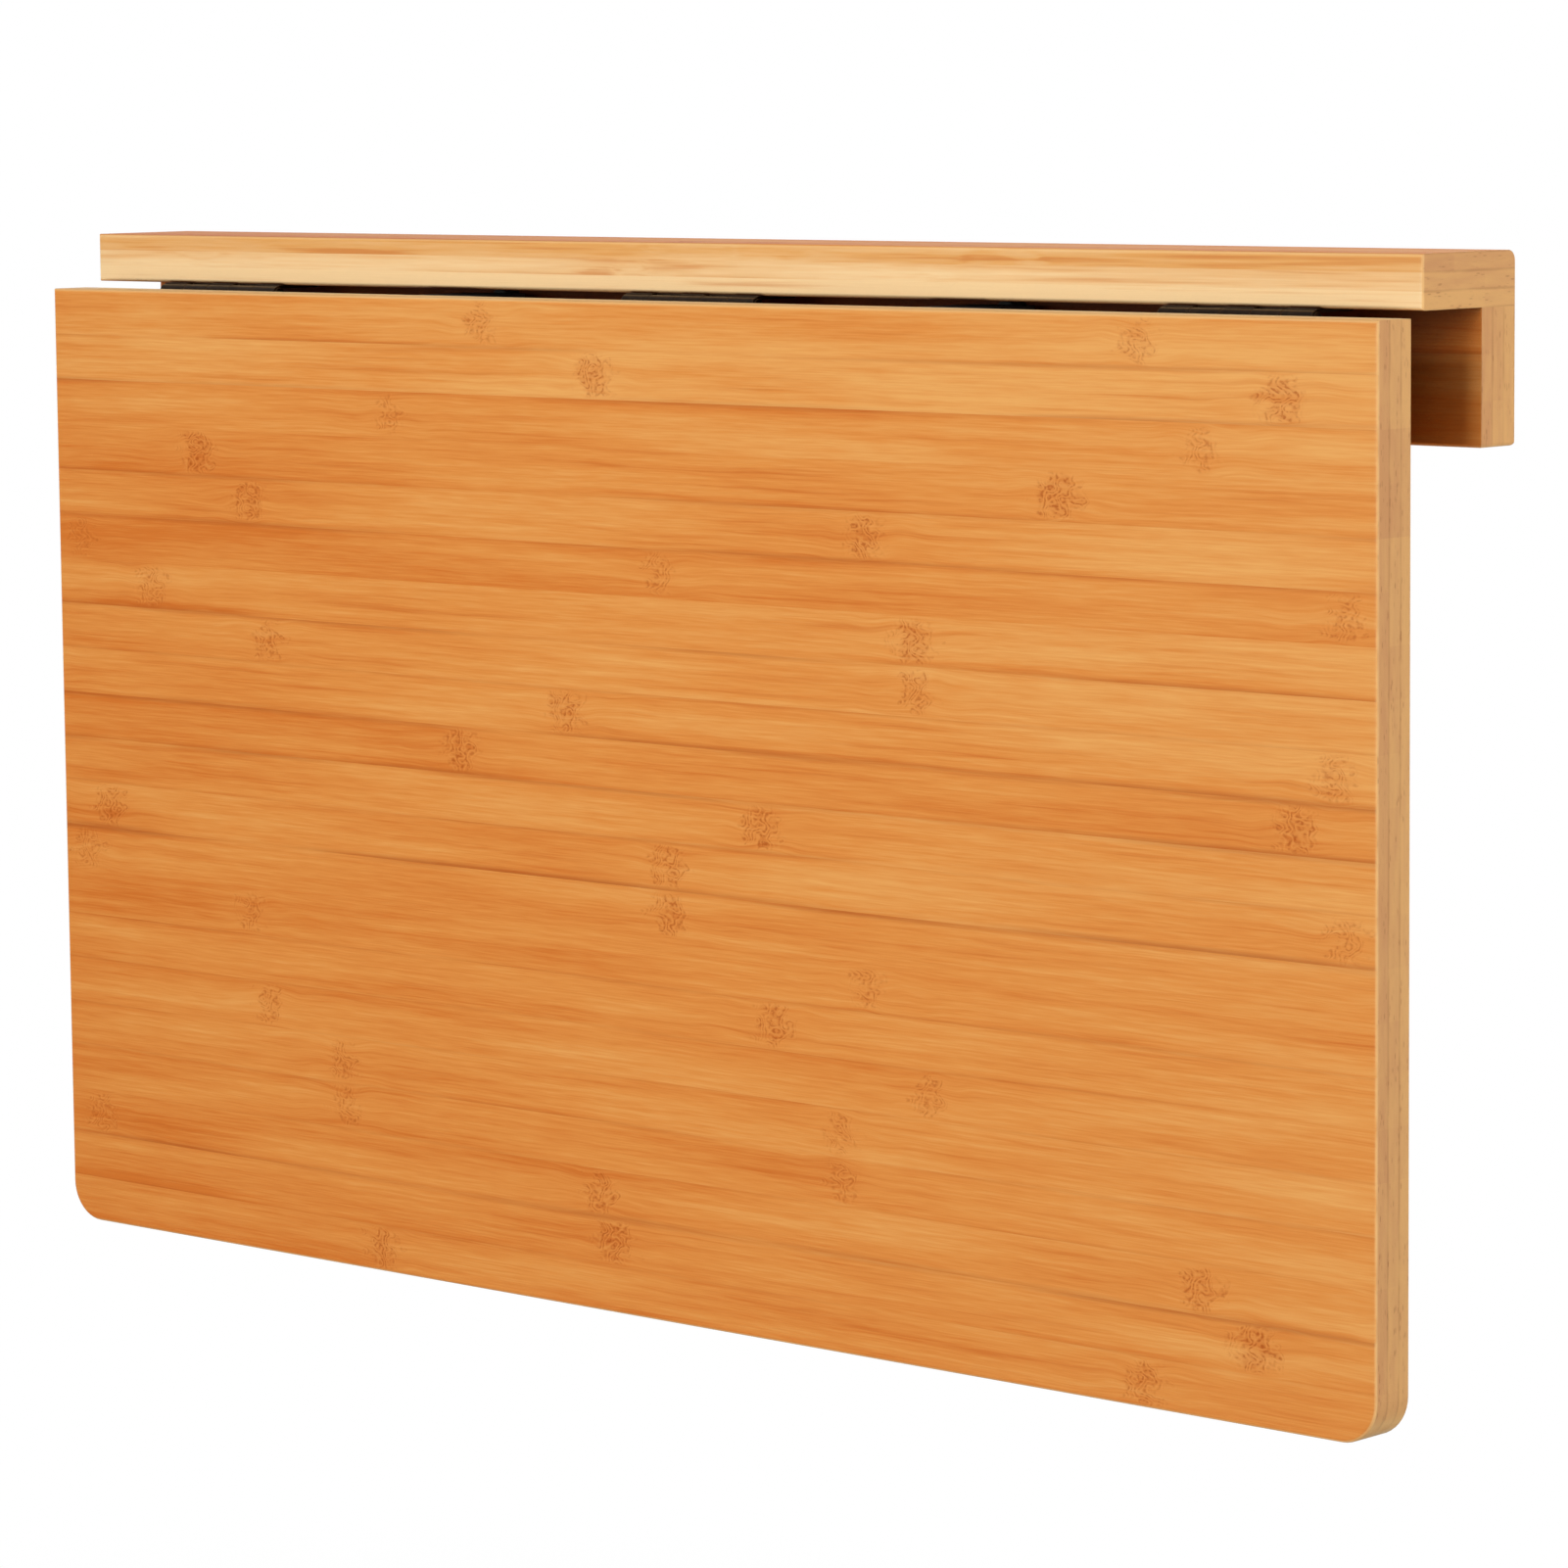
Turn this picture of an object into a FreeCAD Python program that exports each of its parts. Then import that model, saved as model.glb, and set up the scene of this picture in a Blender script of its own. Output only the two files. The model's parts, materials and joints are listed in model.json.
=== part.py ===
import FreeCAD, Part
import os
import re

import Sketcher

# Wall-hung drop-leaf table in laminated bamboo, drawn folded down.
# A ledge and a wall board form an angle that screws to the wall. The leaf hangs from three
# butt hinges under the ledge's front edge. Raised level, it is held by two lock struts that
# flip up from the wall board and press against stop arms under the leaf.
# Frame: +Z up, the wall is the plane Y = 0, and the front of the table looks towards -Y.
# Origin: the middle of the row of wall screws, on the wall. Sizes are in millimetres.

SIZES = {
    # boards
    "table_width": 700,
    "board_thickness": 20,
    "leaf_length": 400,
    "leaf_corner_radius": 16,
    "ledge_depth": 55,
    "wall_board_height": 50,
    "edge_round": 1.5,
    "ledge_back_round": 4,
    # dowels between the ledge and the wall board
    "dowel_radius": 4,
    "dowel_length": 30,
    "dowel_end_margin": 50,
    "dowel_chamfer": 1,
    "dowel_clearance": 0.05,
    "dowel_end_gap": 0.8,
    # screw holes for the wall
    "wall_hole_radius": 2.75,
    "wall_hole_head": 11,
    "wall_hole_end_margin": 100,
    "wall_hole_lock_margin": 45,
    # fold axis of the leaf
    "pin_drop": 3.5,
    "pin_ahead": 2.5,
    "leaf_overlap": 1,
    # butt hinges
    "hinge_length": 70,
    "hinge_end_margin": 80,
    "knuckle_count": 5,
    "hinge_plate_width": 24,
    "hinge_plate_thickness": 1.5,
    "hinge_plate_corner": 3,
    "knuckle_radius": 3,
    "knuckle_gap": 0.3,
    "knuckle_clearance": 0.5,
    "hinge_pin_radius": 1.5,
    "hinge_pin_head": 2.4,
    "pin_head_thickness": 0.8,
    "running_clearance": 0.05,
    "hinge_screw_spacing": 25,
    "hinge_screw_row": 14,
    # countersunk wood screws
    "screw_radius": 1.75,
    "screw_head_radius": 3.2,
    "screw_head_angle": 90,
    "screw_length": 15,
    "screw_point": 3,
    "screw_clearance": 0.05,
    "recess_length": 3.4,
    "recess_width": 0.8,
    "recess_depth": 1,
    # stop arms under the leaf
    "arm_width": 30,
    "arm_thickness": 3,
    "arm_base": 45,
    "arm_web": 2.5,
    "arm_web_margin": 3,
    "arm_corner": 4,
    "arm_bend": 2,
    "arm_first_screw": 13,
    "arm_second_screw": 35,
    "arm_screw_spacing": 12,
    # lock brackets, struts and buffers on the wall board
    "strut_width": 12,
    "strut_thickness": 8,
    "strut_boss_radius": 5,
    "strut_pin_radius": 2,
    "strut_pin_head": 3.5,
    "strut_side_gap": 0.4,
    "strut_contact_gap": 0.6,
    "strut_tip_margin": 5,
    "strut_pad_length": 4,
    "strut_pad_round": 1,
    "ear_thickness": 2.5,
    "ear_radius": 5.5,
    "bracket_width": 44,
    "bracket_height": 28,
    "bracket_thickness": 2,
    "bracket_corner": 4,
    "bracket_screw_x": 32,
    "bracket_screw_z": 17,
    "buffer_radius": 4.5,
    "buffer_length": 8.3,
    "buffer_round": 1,
    "buffer_clearance": 0.5,
    "buffer_rest_gap": 0.2,
}

# Places that follow from the sizes above.
FORMULAS = {
    "ledge_underside": "wall_board_height / 2",
    "ledge_top": "ledge_underside + board_thickness",
    "pin_y": "-(ledge_depth + pin_ahead)",
    "pin_z": "ledge_underside - pin_drop",
    "leaf_rear": "pin_y - pin_drop",
    "leaf_top": "pin_z + leaf_overlap",
    "dowel_y": "-board_thickness / 2",
    "dowel_reach": "table_width / 2 - dowel_end_margin",
    "hinge_spacing": "table_width / 2 - hinge_end_margin",
    "lock_spacing": "hinge_spacing / 2",
    "outer_wall_holes": "table_width - 2 * wall_hole_end_margin",
    "inner_wall_holes": "2 * (lock_spacing - wall_hole_lock_margin)",
    "pilot_radius": "screw_radius + screw_clearance",
    "head_hole_radius": "screw_head_radius + screw_clearance",
    "knuckle_length": "hinge_length / knuckle_count",
    "arm_tip_y": "-(board_thickness + buffer_length + buffer_rest_gap)",
    "arm_length": "arm_tip_y - pin_y",
    "strut_z": "pin_z - arm_length + strut_tip_margin",
    "strut_reach": "arm_length - leaf_overlap - strut_contact_gap",
    "ear_inside": "strut_width / 2 + strut_side_gap",
    "buffer_z": "ledge_underside - buffer_radius - buffer_clearance",
}

SIDES = {"left": "-1", "right": "1"}
HINGE_PLACES = {"left": "-hinge_spacing", "centre": "0", "right": "hinge_spacing"}
HINGE_SCREWS = ("-hinge_screw_spacing", "0", "hinge_screw_spacing")
FIXED_KNUCKLES = (-2, 0, 2)
MOVING_KNUCKLES = (-1, 1)
DOWEL_SHARES = (-1, -0.6, -0.2, 0.2, 0.6, 1)
ARM_SCREWS = (
    ("-arm_screw_spacing / 2", "arm_first_screw"),
    ("arm_screw_spacing / 2", "arm_first_screw"),
    ("0", "arm_second_screw"),
)
BRACKET_SCREWS = [
    (f"{x} * bracket_screw_x / 2", f"{z} * bracket_screw_z / 2")
    for x in (-1, 1) for z in (-1, 1)
]
SAME_PLACE = 1e-4

UP = FreeCAD.Vector(0, 0, 1)
DOWN = FreeCAD.Vector(0, 0, -1)
BACK = FreeCAD.Vector(0, 1, 0)
FRONT = FreeCAD.Vector(0, -1, 0)

doc = FreeCAD.newDocument("DropLeafWallTable")
sheet = doc.addObject("Spreadsheet::Sheet", "Sizes")
for row, (name, number) in enumerate(SIZES.items(), start=1):
    sheet.set(f"A{row}", name)
    sheet.set(f"B{row}", str(number))
    sheet.setAlias(f"B{row}", name)
doc.recompute()


def expand(text):
    """Write a formula out in the sheet's own names."""
    def spell(match):
        word = match.group(0)
        if word in FORMULAS:
            return f"({expand(FORMULAS[word])})"
        return f"Sizes.{word}" if word in SIZES else word
    return re.sub(r"[a-z][a-z_]*", spell, str(text))


def value(text):
    """Work a formula out from the sheet."""
    return float(sheet.evalExpression(expand(text)))


def bind(thing, setting, text):
    thing.setExpression(setting, expand(text))


def place(body, x="0", y="0", z="0"):
    """Set a body's place by formulas."""
    for axis, text in zip("xyz", (x, y, z)):
        bind(body, f"Placement.Base.{axis}", text)


def new_body(label):
    body = doc.addObject("PartDesign::Body", label)
    body.Label = label
    return body


def new_sketch(body, plane, start="0"):
    """Start a sketch on a plane of the body's origin, moved along its normal by a formula."""
    sketch = body.newObject("Sketcher::SketchObject", f"{body.Name}_outline")
    support = next(feature for feature in body.Origin.OriginFeatures if feature.Role == f"{plane}_Plane")
    sketch.AttachmentSupport = [(support, "")]
    sketch.MapMode = "FlatFace"
    bind(sketch, "AttachmentOffset.Base.z", start)
    return sketch


def hold_point(sketch, geometry, position, x, y):
    """Fix a point of the sketch by two formulas measured from the sketch's origin."""
    for kind, text in (("DistanceX", x), ("DistanceY", y)):
        rule = Sketcher.Constraint(kind, -1, 1, geometry, position, value(text))
        bind(sketch, f"Constraints[{sketch.addConstraint(rule)}]", text)


def draw_polygon(sketch, points):
    corners = [FreeCAD.Vector(value(x), value(y), 0) for x, y in points]
    first = sketch.GeometryCount
    for start, end in zip(corners, corners[1:] + corners[:1]):
        sketch.addGeometry(Part.LineSegment(start, end))
    for step, (x, y) in enumerate(points):
        following = first + (step + 1) % len(points)
        sketch.addConstraint(Sketcher.Constraint("Coincident", first + step, 2, following, 1))
        hold_point(sketch, first + step, 1, x, y)


def draw_box(sketch, x_low, x_high, y_low, y_high):
    draw_polygon(sketch, [(x_low, y_low), (x_high, y_low), (x_high, y_high), (x_low, y_high)])


def draw_circle(sketch, x, y, radius):
    centre = FreeCAD.Vector(value(x), value(y), 0)
    circle = sketch.addGeometry(Part.Circle(centre, UP, value(radius)))
    hold_point(sketch, circle, 3, x, y)
    rule = Sketcher.Constraint("Radius", circle, value(radius))
    bind(sketch, f"Constraints[{sketch.addConstraint(rule)}]", radius)


def pad(body, sketch, length):
    feature = body.newObject("PartDesign::Pad", f"{body.Name}_pad")
    feature.Profile = sketch
    bind(feature, "Length", length)
    doc.recompute()


def cut(body, sketch, length):
    """Cut along the sketch's normal, and make sure that material came away."""
    before = body.Shape.Volume
    feature = body.newObject("PartDesign::Pocket", f"{body.Name}_cut")
    feature.Profile = sketch
    feature.Reversed = True
    bind(feature, "Length", length)
    doc.recompute()
    if body.Shape.Volume >= before:
        raise RuntimeError(f"{body.Label}: a cut removed nothing")


def revolve(body, sketch, axis):
    feature = body.newObject("PartDesign::Revolution", f"{body.Name}_turned")
    feature.Profile = sketch
    feature.ReferenceAxis = (sketch, [axis])
    feature.Angle = 360
    doc.recompute()


def countersink(body, sketch, hole_radius, head_diameter, reversed_cut):
    """Drill the sketch's circles right through, with a conical seat for a screw head."""
    before = body.Shape.Volume
    feature = body.newObject("PartDesign::Hole", f"{body.Name}_holes")
    feature.Profile = sketch
    feature.DepthType = "ThroughAll"
    feature.HoleCutType = "Countersink"
    feature.Reversed = reversed_cut
    bind(feature, "Diameter", f"2 * {hole_radius}")
    bind(feature, "HoleCutDiameter", head_diameter)
    bind(feature, "HoleCutCountersinkAngle", "screw_head_angle")
    doc.recompute()
    if body.Shape.Volume >= before:
        raise RuntimeError(f"{body.Label}: a hole removed nothing")


def round_edges(body, radius, chosen):
    """Round the edges of the body that a test picks out."""
    base = body.Tip
    names = [f"Edge{number}" for number, edge in enumerate(base.Shape.Edges, start=1) if chosen(edge)]
    feature = body.newObject("PartDesign::Fillet", f"{body.Name}_round")
    feature.Base = (base, names)
    bind(feature, "Radius", radius)
    doc.recompute()


def lies_on(edge, axis, text):
    """Say whether a whole edge lies in the plane where one coordinate has a formula's value."""
    level = value(text)
    box = edge.BoundBox
    low, high = getattr(box, f"{axis}Min"), getattr(box, f"{axis}Max")
    return abs(low - level) < SAME_PLACE and abs(high - level) < SAME_PLACE


def runs_along(edge, axis):
    """Say whether an edge is straight and parallel to an axis."""
    box = edge.BoundBox
    return all(getattr(box, f"{other}Length") < SAME_PLACE for other in "XYZ" if other != axis)


def group(label, template, places):
    """Set copies of one piece at places, each a point and the way its local +Z looks."""
    copies = []
    for point, outward in places:
        copy = template.Shape.copy()
        centre = FreeCAD.Vector(*map(value, point))
        copy.Placement = FreeCAD.Placement(centre, FreeCAD.Rotation(UP, outward))
        copies.append(copy)
    feature = doc.addObject("Part::Feature", label)
    feature.Label = label
    feature.Shape = Part.makeCompound(copies)
    return feature


def make_screw_template():
    body = new_body("screw_template")
    profile = new_sketch(body, "XZ")
    draw_polygon(profile, [
        ("0", "0"),
        ("screw_head_radius", "0"),
        ("screw_radius", "screw_radius - screw_head_radius"),
        ("screw_radius", "screw_point - screw_length"),
        ("0", "-screw_length"),
    ])
    revolve(body, profile, "V_Axis")
    for long_axis in (0, 1):
        sizes = ["recess_length / 2", "recess_width / 2"]
        half_x, half_y = sizes if long_axis == 0 else reversed(sizes)
        recess = new_sketch(body, "XY", "-recess_depth")
        draw_box(recess, f"-{half_x}", half_x, f"-{half_y}", half_y)
        cut(body, recess, "recess_depth")
    return body


def make_dowel_template():
    body = new_body("dowel_template")
    profile = new_sketch(body, "XZ")
    draw_polygon(profile, [
        ("0", "-dowel_length / 2"),
        ("dowel_radius - dowel_chamfer", "-dowel_length / 2"),
        ("dowel_radius", "dowel_chamfer - dowel_length / 2"),
        ("dowel_radius", "dowel_length / 2 - dowel_chamfer"),
        ("dowel_radius - dowel_chamfer", "dowel_length / 2"),
        ("0", "dowel_length / 2"),
    ])
    revolve(body, profile, "V_Axis")
    return body


def drill_dowel_holes(body, start):
    holes = new_sketch(body, "XY", start)
    for share in DOWEL_SHARES:
        draw_circle(holes, f"{share} * dowel_reach", "dowel_y", "dowel_radius + dowel_clearance")
    cut(body, holes, "dowel_length / 2 + dowel_end_gap")


def make_ledge_board():
    body = new_body("ledge_board")
    section = new_sketch(body, "YZ", "-table_width / 2")
    draw_box(section, "-ledge_depth", "0", "ledge_underside", "ledge_top")
    pad(body, section, "table_width")
    round_edges(body, "ledge_back_round",
                lambda edge: lies_on(edge, "Z", "ledge_top") and lies_on(edge, "Y", "0"))
    round_edges(body, "edge_round", lambda edge: lies_on(edge, "Y", "-ledge_depth"))
    drill_dowel_holes(body, "ledge_underside")
    pilots = new_sketch(body, "XY", "ledge_underside")
    for hinge in HINGE_PLACES.values():
        for screw in HINGE_SCREWS:
            draw_circle(pilots, f"{hinge} + {screw}", "pin_y + hinge_screw_row", "pilot_radius")
    cut(body, pilots, "screw_length")
    return body


def make_wall_board():
    body = new_body("wall_board")
    section = new_sketch(body, "YZ", "-table_width / 2")
    draw_box(section, "-board_thickness", "0", "-ledge_underside", "ledge_underside")
    pad(body, section, "table_width")
    round_edges(body, "edge_round", lambda edge: lies_on(edge, "Z", "-ledge_underside"))
    drill_dowel_holes(body, "ledge_underside - dowel_length / 2 - dowel_end_gap")
    pilots = new_sketch(body, "XZ", "board_thickness - screw_length")
    for side in SIDES.values():
        for x, z in BRACKET_SCREWS:
            draw_circle(pilots, f"{side} * lock_spacing + {x}", f"strut_z + {z}", "pilot_radius")
    cut(body, pilots, "screw_length")
    wall_holes = new_sketch(body, "XZ", "board_thickness")
    for spread in ("outer_wall_holes", "inner_wall_holes"):
        for side in SIDES.values():
            draw_circle(wall_holes, f"{side} * {spread} / 2", "0", "wall_hole_radius")
    countersink(body, wall_holes, "wall_hole_radius", "wall_hole_head", False)
    return body


def make_leaf_panel():
    body = new_body("leaf_panel")
    outline = new_sketch(body, "XZ", "-leaf_rear")
    draw_box(outline, "-table_width / 2", "table_width / 2", "leaf_top - leaf_length", "leaf_top")
    pad(body, outline, "board_thickness")
    free_edge = "leaf_top - leaf_length"
    round_edges(body, "leaf_corner_radius",
                lambda edge: runs_along(edge, "Y") and lies_on(edge, "Z", free_edge))
    round_edges(body, "edge_round", lambda edge: lies_on(edge, "Y", "leaf_rear - board_thickness"))
    round_edges(body, "edge_round", lambda edge: lies_on(edge, "Y", "leaf_rear"))
    pilots = new_sketch(body, "XZ", "-leaf_rear")
    for hinge in HINGE_PLACES.values():
        for screw in HINGE_SCREWS:
            draw_circle(pilots, f"{hinge} + {screw}", "pin_z - hinge_screw_row", "pilot_radius")
    for side in SIDES.values():
        for x, drop in ARM_SCREWS:
            draw_circle(pilots, f"{side} * lock_spacing + {x}", f"pin_z - {drop}", "pilot_radius")
    cut(body, pilots, "screw_length")
    return body


def make_hinge_plate(label, x, gaps, leaf_side):
    """One half of a butt hinge, drawn about its pin with the plate reaching back along +Y."""
    body = new_body(label)
    plate = new_sketch(body, "XY", "pin_drop - hinge_plate_thickness")
    draw_box(plate, "-hinge_length / 2", "hinge_length / 2", "0", "hinge_plate_width")
    pad(body, plate, "hinge_plate_thickness")
    round_edges(body, "hinge_plate_corner",
                lambda edge: runs_along(edge, "Z") and lies_on(edge, "Y", "hinge_plate_width"))
    barrel = new_sketch(body, "YZ", "-hinge_length / 2")
    draw_circle(barrel, "0", "0", "knuckle_radius")
    pad(body, barrel, "hinge_length")
    for step in gaps:
        notch = new_sketch(body, "XY", "-pin_drop")
        half = "(knuckle_length + knuckle_gap) / 2"
        draw_box(notch, f"{step} * knuckle_length - {half}", f"{step} * knuckle_length + {half}",
                 "-(knuckle_radius + knuckle_clearance)", "knuckle_radius + knuckle_clearance")
        cut(body, notch, "2 * pin_drop")
    bore = new_sketch(body, "YZ", "-hinge_length / 2")
    draw_circle(bore, "0", "0", "hinge_pin_radius + running_clearance")
    cut(body, bore, "hinge_length")
    holes = new_sketch(body, "XY", "pin_drop - hinge_plate_thickness")
    for screw in HINGE_SCREWS:
        draw_circle(holes, screw, "hinge_screw_row", "pilot_radius")
    countersink(body, holes, "pilot_radius", "2 * head_hole_radius", True)
    if leaf_side:
        quarter = FreeCAD.Rotation(FreeCAD.Vector(1, 0, 0), 90)
        body.Placement.Rotation = quarter.multiply(FreeCAD.Rotation(UP, 180))
    place(body, x, "pin_y", "pin_z")
    return body


def make_rivet(label, radius, head_radius, length, x, y, z):
    """A pin along X with a flat head at each end."""
    body = new_body(label)
    profile = new_sketch(body, "XY")
    end = f"{length} / 2"
    tip = f"({length} / 2 + pin_head_thickness)"
    draw_polygon(profile, [
        (f"-{tip}", "0"), (tip, "0"), (tip, head_radius), (end, head_radius), (end, radius),
        (f"-{end}", radius), (f"-{end}", head_radius), (f"-{tip}", head_radius),
    ])
    revolve(body, profile, "H_Axis")
    place(body, x, y, z)
    return body


def make_stop_arm(label, x):
    """An angle under the leaf, drawn about the fold axis, with a web down each side."""
    body = new_body(label)
    inner_y = "arm_thickness - pin_drop"
    inner_z = "leaf_overlap - arm_thickness"
    section = new_sketch(body, "YZ", "-arm_width / 2")
    draw_polygon(section, [
        ("-pin_drop", "-arm_base"), (inner_y, "-arm_base"), (inner_y, inner_z),
        ("arm_length", inner_z), ("arm_length", "leaf_overlap"), ("-pin_drop", "leaf_overlap"),
    ])
    pad(body, section, "arm_width")
    round_edges(body, "arm_corner",
                lambda edge: runs_along(edge, "Y") and lies_on(edge, "Z", "-arm_base"))
    round_edges(body, "arm_bend",
                lambda edge: lies_on(edge, "Y", "-pin_drop") and lies_on(edge, "Z", "leaf_overlap"))
    for start in ("-arm_width / 2", "arm_width / 2 - arm_web"):
        web = new_sketch(body, "YZ", start)
        draw_polygon(web, [
            (inner_y, inner_z), (inner_y, "arm_web_margin - arm_base"),
            ("arm_length - arm_web_margin", inner_z),
        ])
        pad(body, web, "arm_web")
    holes = new_sketch(body, "XZ", "pin_drop - arm_thickness")
    for across, drop in ARM_SCREWS:
        draw_circle(holes, across, f"-{drop}", "pilot_radius")
    countersink(body, holes, "pilot_radius", "2 * head_hole_radius", True)
    place(body, x, "pin_y", "pin_z")
    return body


def make_lock_bracket(label, x):
    """A plate on the wall board with two ears that carry the strut's pivot."""
    body = new_body(label)
    plate_front = "board_thickness + bracket_thickness"
    plate = new_sketch(body, "XZ", "board_thickness")
    draw_box(plate, "-bracket_width / 2", "bracket_width / 2",
             "strut_z - bracket_height / 2", "strut_z + bracket_height / 2")
    pad(body, plate, "bracket_thickness")
    round_edges(body, "bracket_corner", lambda edge: runs_along(edge, "Y"))
    for start in ("ear_inside", "-(ear_inside + ear_thickness)"):
        arm = new_sketch(body, "YZ", start)
        draw_box(arm, "arm_tip_y", "-board_thickness", "strut_z - ear_radius", "strut_z + ear_radius")
        pad(body, arm, "ear_thickness")
        nose = new_sketch(body, "YZ", start)
        draw_circle(nose, "arm_tip_y", "strut_z", "ear_radius")
        pad(body, nose, "ear_thickness")
    bore = new_sketch(body, "YZ", "-bracket_width / 2")
    draw_circle(bore, "arm_tip_y", "strut_z", "strut_pin_radius + running_clearance")
    cut(body, bore, "bracket_width")
    holes = new_sketch(body, "XZ", plate_front)
    for across, rise in BRACKET_SCREWS:
        draw_circle(holes, across, f"strut_z + {rise}", "pilot_radius")
    countersink(body, holes, "pilot_radius", "2 * head_hole_radius", False)
    place(body, x)
    return body


def make_lock_strut(label, x):
    """A bar that hangs from its pivot and flips forward to meet the raised leaf's stop arm."""
    body = new_body(label)
    boss = new_sketch(body, "YZ", "-strut_width / 2")
    draw_circle(boss, "0", "0", "strut_boss_radius")
    pad(body, boss, "strut_width")
    bar = new_sketch(body, "YZ", "-strut_width / 2")
    draw_box(bar, "-strut_thickness / 2", "strut_thickness / 2", "strut_pad_length - strut_reach", "0")
    pad(body, bar, "strut_width")
    bore = new_sketch(body, "YZ", "-strut_width / 2")
    draw_circle(bore, "0", "0", "strut_pin_radius + running_clearance")
    cut(body, bore, "strut_width")
    place(body, x, "arm_tip_y", "strut_z")
    return body


def make_strut_pad(label, x):
    """The rubber end of a strut."""
    body = new_body(label)
    block = new_sketch(body, "XY", "-strut_reach")
    draw_box(block, "-strut_width / 2", "strut_width / 2", "-strut_thickness / 2", "strut_thickness / 2")
    pad(body, block, "strut_pad_length")
    round_edges(body, "strut_pad_round", lambda edge: lies_on(edge, "Z", "-strut_reach"))
    place(body, x, "arm_tip_y", "strut_z")
    return body


def make_rest_buffer(label, x):
    """A rubber stud on the wall board that the stop arm rests against while the leaf hangs."""
    body = new_body(label)
    disc = new_sketch(body, "XZ", "board_thickness")
    draw_circle(disc, "0", "buffer_z", "buffer_radius")
    pad(body, disc, "buffer_length")
    round_edges(body, "buffer_round",
                lambda edge: lies_on(edge, "Y", "-(board_thickness + buffer_length)"))
    place(body, x)
    return body


def make_hinge(side, x, screw):
    """A butt hinge: the half under the ledge, the half on the leaf, the pin and the screws."""
    ledge_seat = ("pin_y + hinge_screw_row", "ledge_underside - hinge_plate_thickness")
    leaf_seat = ("leaf_rear + hinge_plate_thickness", "pin_z - hinge_screw_row")
    ledge_screws = [((f"{x} + {along}", *ledge_seat), DOWN) for along in HINGE_SCREWS]
    leaf_screws = [((f"{x} + {along}", *leaf_seat), BACK) for along in HINGE_SCREWS]
    return [
        make_hinge_plate(f"ledge_hinge_plate_{side}", x, MOVING_KNUCKLES, False),
        make_hinge_plate(f"leaf_hinge_plate_{side}", x, FIXED_KNUCKLES, True),
        make_rivet(f"hinge_pin_{side}", "hinge_pin_radius", "hinge_pin_head", "hinge_length",
                   x, "pin_y", "pin_z"),
        group(f"ledge_hinge_screws_{side}", screw, ledge_screws),
        group(f"leaf_hinge_screws_{side}", screw, leaf_screws),
    ]


def make_lock(side, sign, screw):
    """A stop arm under the leaf with the strut, bracket and buffer that face it on the wall board."""
    x = f"{sign} * lock_spacing"
    arm_screws = [((f"{x} + {across}", "leaf_rear + arm_thickness", f"pin_z - {drop}"), BACK)
                  for across, drop in ARM_SCREWS]
    plate_front = "-(board_thickness + bracket_thickness)"
    bracket_screws = [((f"{x} + {across}", plate_front, f"strut_z + {rise}"), FRONT)
                      for across, rise in BRACKET_SCREWS]
    return [
        make_stop_arm(f"stop_arm_{side}", x),
        group(f"stop_arm_screws_{side}", screw, arm_screws),
        make_lock_bracket(f"lock_bracket_{side}", x),
        group(f"lock_bracket_screws_{side}", screw, bracket_screws),
        make_lock_strut(f"lock_strut_{side}", x),
        make_strut_pad(f"strut_pad_{side}", x),
        make_rivet(f"strut_pin_{side}", "strut_pin_radius", "strut_pin_head",
                   "(2 * (ear_inside + ear_thickness))", x, "arm_tip_y", "strut_z"),
        make_rest_buffer(f"rest_buffer_{side}", x),
    ]


def make_table():
    screw = make_screw_template()
    dowel = make_dowel_template()
    dowel_places = [((f"{share} * dowel_reach", "dowel_y", "ledge_underside"), UP)
                    for share in DOWEL_SHARES]
    pieces = [make_ledge_board(), make_wall_board(), make_leaf_panel()]
    pieces.append(group("dowel_pins", dowel, dowel_places))
    for side, x in HINGE_PLACES.items():
        pieces += make_hinge(side, x, screw)
    for side, sign in SIDES.items():
        pieces += make_lock(side, sign, screw)
    return pieces


def check_and_export(pieces):
    """Stop if anything failed to build, then write each piece to its own file."""
    doc.recompute()
    for thing in doc.Objects:
        if {"Invalid", "Error"} & set(thing.State):
            raise RuntimeError(f"{thing.Label} did not build: {thing.State}")
    for piece in pieces:
        if piece.Shape.isNull() or not piece.Shape.isValid():
            raise RuntimeError(f"{piece.Label} has no valid shape")
    os.makedirs("parts", exist_ok=True)
    for piece in pieces:
        piece.Shape.exportStep(f"parts/{piece.Label}.step")


check_and_export(make_table())
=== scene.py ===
import json
import math
from collections import namedtuple

import bmesh
import bpy
from mathutils import Euler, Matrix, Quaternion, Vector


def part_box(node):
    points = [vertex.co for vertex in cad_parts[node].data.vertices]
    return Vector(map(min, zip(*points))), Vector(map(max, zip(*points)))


# A wall-hung drop-leaf table in laminated bamboo, hanging folded down in a white studio.
# Metres, in the CAD frame: +Z up, the wall is the plane Y = 0, the front looks towards -Y.

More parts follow.
